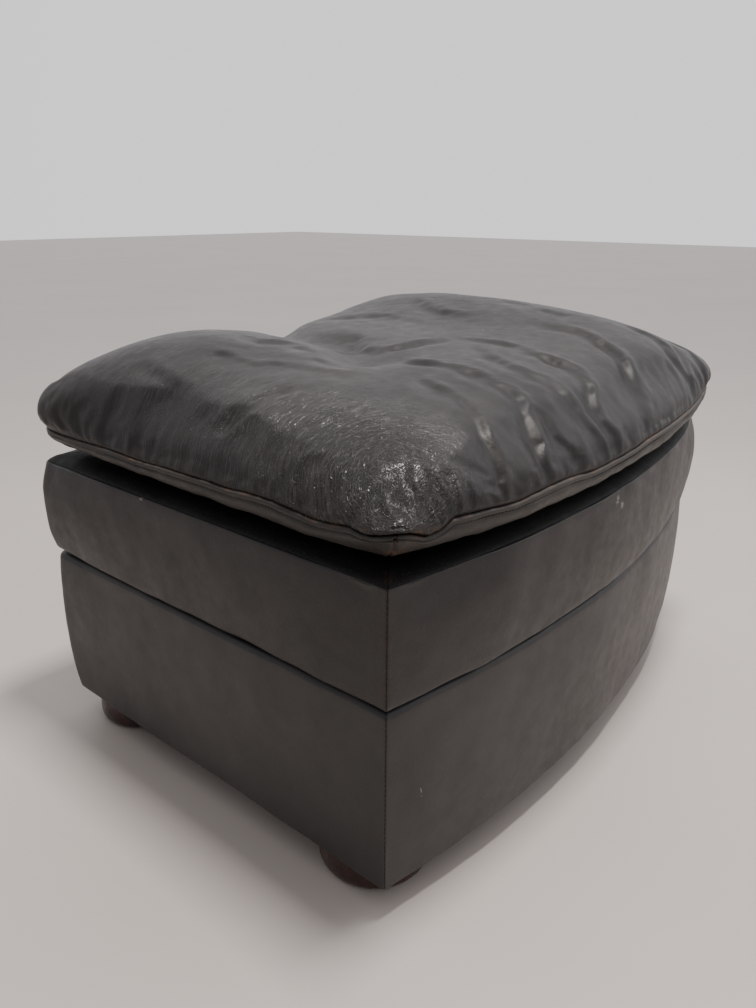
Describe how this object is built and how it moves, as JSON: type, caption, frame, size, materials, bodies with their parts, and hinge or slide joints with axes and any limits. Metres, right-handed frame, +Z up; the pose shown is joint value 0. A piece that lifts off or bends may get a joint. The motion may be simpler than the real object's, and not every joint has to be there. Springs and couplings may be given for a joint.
{
  "type": "ottoman with storage",
  "caption": "Bow-fronted leather storage ottoman: a box on bun feet under a padded, cushioned lid hinged at the back and held up by gas struts.",
  "frame": {"origin": "on the floor, under the middle of the whole object's box", "axes": "+X to the right across the bowed front, +Y from the bowed front to the hinged back, +Z up"},
  "size_m": [0.73, 0.5886, 0.491],
  "materials": {
    "dark_leather": "worn, very dark brown pigmented leather with a soft sheen and fine creases",
    "plywood": "sawn hardwood plywood, unfinished",
    "upholstery_foam": "cut polyurethane foam, matt",
    "lining_cloth": "black non-woven lining cloth",
    "stained_wood": "turned hardwood, dark red-brown stain under satin lacquer",
    "nylon": "moulded nylon",
    "zinc_steel": "zinc-plated pressed steel",
    "strut_rod_steel": "ground and plated rod",
    "black_steel": "black powder-coated tube",
    "rubber": "moulded black rubber"
  },
  "bodies": {
    "box": {"box_front_board": "plywood", "box_back_board": "plywood", "box_left_board": "plywood", "box_right_board": "plywood", "storage_floor": "plywood", "foot_block_front_left": "plywood", "foot_block_front_right": "plywood", "foot_block_back_left": "plywood", "foot_block_back_right": "plywood", "box_padding": "upholstery_foam", "box_front_cover": "dark_leather", "box_back_cover": "dark_leather", "box_left_cover": "dark_leather", "box_right_cover": "dark_leather", "storage_lining": "lining_cloth", "dust_cover": "lining_cloth", "bun_foot_front_left": "stained_wood", "bun_foot_front_right": "stained_wood", "bun_foot_back_left": "stained_wood", "bun_foot_back_right": "stained_wood", "foot_glide_front_left": "nylon", "foot_glide_front_right": "nylon", "foot_glide_back_left": "nylon", "foot_glide_back_right": "nylon", "foot_bolt_front_left": "zinc_steel", "foot_bolt_front_right": "zinc_steel", "foot_bolt_back_left": "zinc_steel", "foot_bolt_back_right": "zinc_steel", "hinge_box_leaf_left": "zinc_steel", "hinge_box_leaf_right": "zinc_steel", "hinge_pin_left": "zinc_steel", "hinge_pin_right": "zinc_steel", "strut_box_bracket_left": "zinc_steel", "strut_box_bracket_right": "zinc_steel", "lid_bumper_left": "rubber", "lid_bumper_right": "rubber"},
    "lid": {"lid_front_rail": "plywood", "lid_back_rail": "plywood", "lid_left_rail": "plywood", "lid_right_rail": "plywood", "lid_deck": "plywood", "lid_band_padding": "upholstery_foam", "lid_deck_padding": "upholstery_foam", "lid_front_cover": "dark_leather", "lid_back_cover": "dark_leather", "lid_left_cover": "dark_leather", "lid_right_cover": "dark_leather", "lid_top_cover": "dark_leather", "lid_lining": "lining_cloth", "cushion_boxing": "dark_leather", "cushion_top": "dark_leather", "cushion_core": "upholstery_foam", "hinge_lid_leaf_left": "zinc_steel", "hinge_lid_leaf_right": "zinc_steel", "strut_lid_bracket_left": "zinc_steel", "strut_lid_bracket_right": "zinc_steel"},
    "left_strut_tube": {"strut_tube_left": "black_steel"},
    "left_strut_rod": {"strut_rod_left": "strut_rod_steel"},
    "right_strut_tube": {"strut_tube_right": "black_steel"},
    "right_strut_rod": {"strut_rod_right": "strut_rod_steel"}
  },
  "joints": [
    {"name": "lid_hinge", "type": "hinge", "parent": "box", "child": "lid", "pos_m": [0, 0.2913, 0.2332], "axis": [-1, 0, 0], "range_deg": [0, 75]},
    {"name": "left_strut_lower_pivot", "type": "hinge", "parent": "box", "child": "left_strut_tube", "pos_m": [-0.3191, 0.19379, 0.09394], "axis": [-1, 0, 0], "range_deg": [0, 37.5]},
    {"name": "left_strut_upper_pivot", "type": "hinge", "parent": "lid", "child": "left_strut_rod", "pos_m": [-0.3191, 0.13723, 0.30505], "axis": [-1, 0, 0], "range_deg": [-37.5, 0]},
    {"name": "right_strut_lower_pivot", "type": "hinge", "parent": "box", "child": "right_strut_tube", "pos_m": [0.3191, 0.19379, 0.09394], "axis": [-1, 0, 0], "range_deg": [0, 37.5]},
    {"name": "right_strut_upper_pivot", "type": "hinge", "parent": "lid", "child": "right_strut_rod", "pos_m": [0.3191, 0.13723, 0.30505], "axis": [-1, 0, 0], "range_deg": [-37.5, 0]}
  ],
  "couplings": [
    {"joint": "left_strut_lower_pivot", "follows": "lid_hinge", "ratio": 0.5},
    {"joint": "left_strut_upper_pivot", "follows": "lid_hinge", "ratio": -0.5},
    {"joint": "right_strut_lower_pivot", "follows": "lid_hinge", "ratio": 0.5},
    {"joint": "right_strut_upper_pivot", "follows": "lid_hinge", "ratio": -0.5}
  ]
}
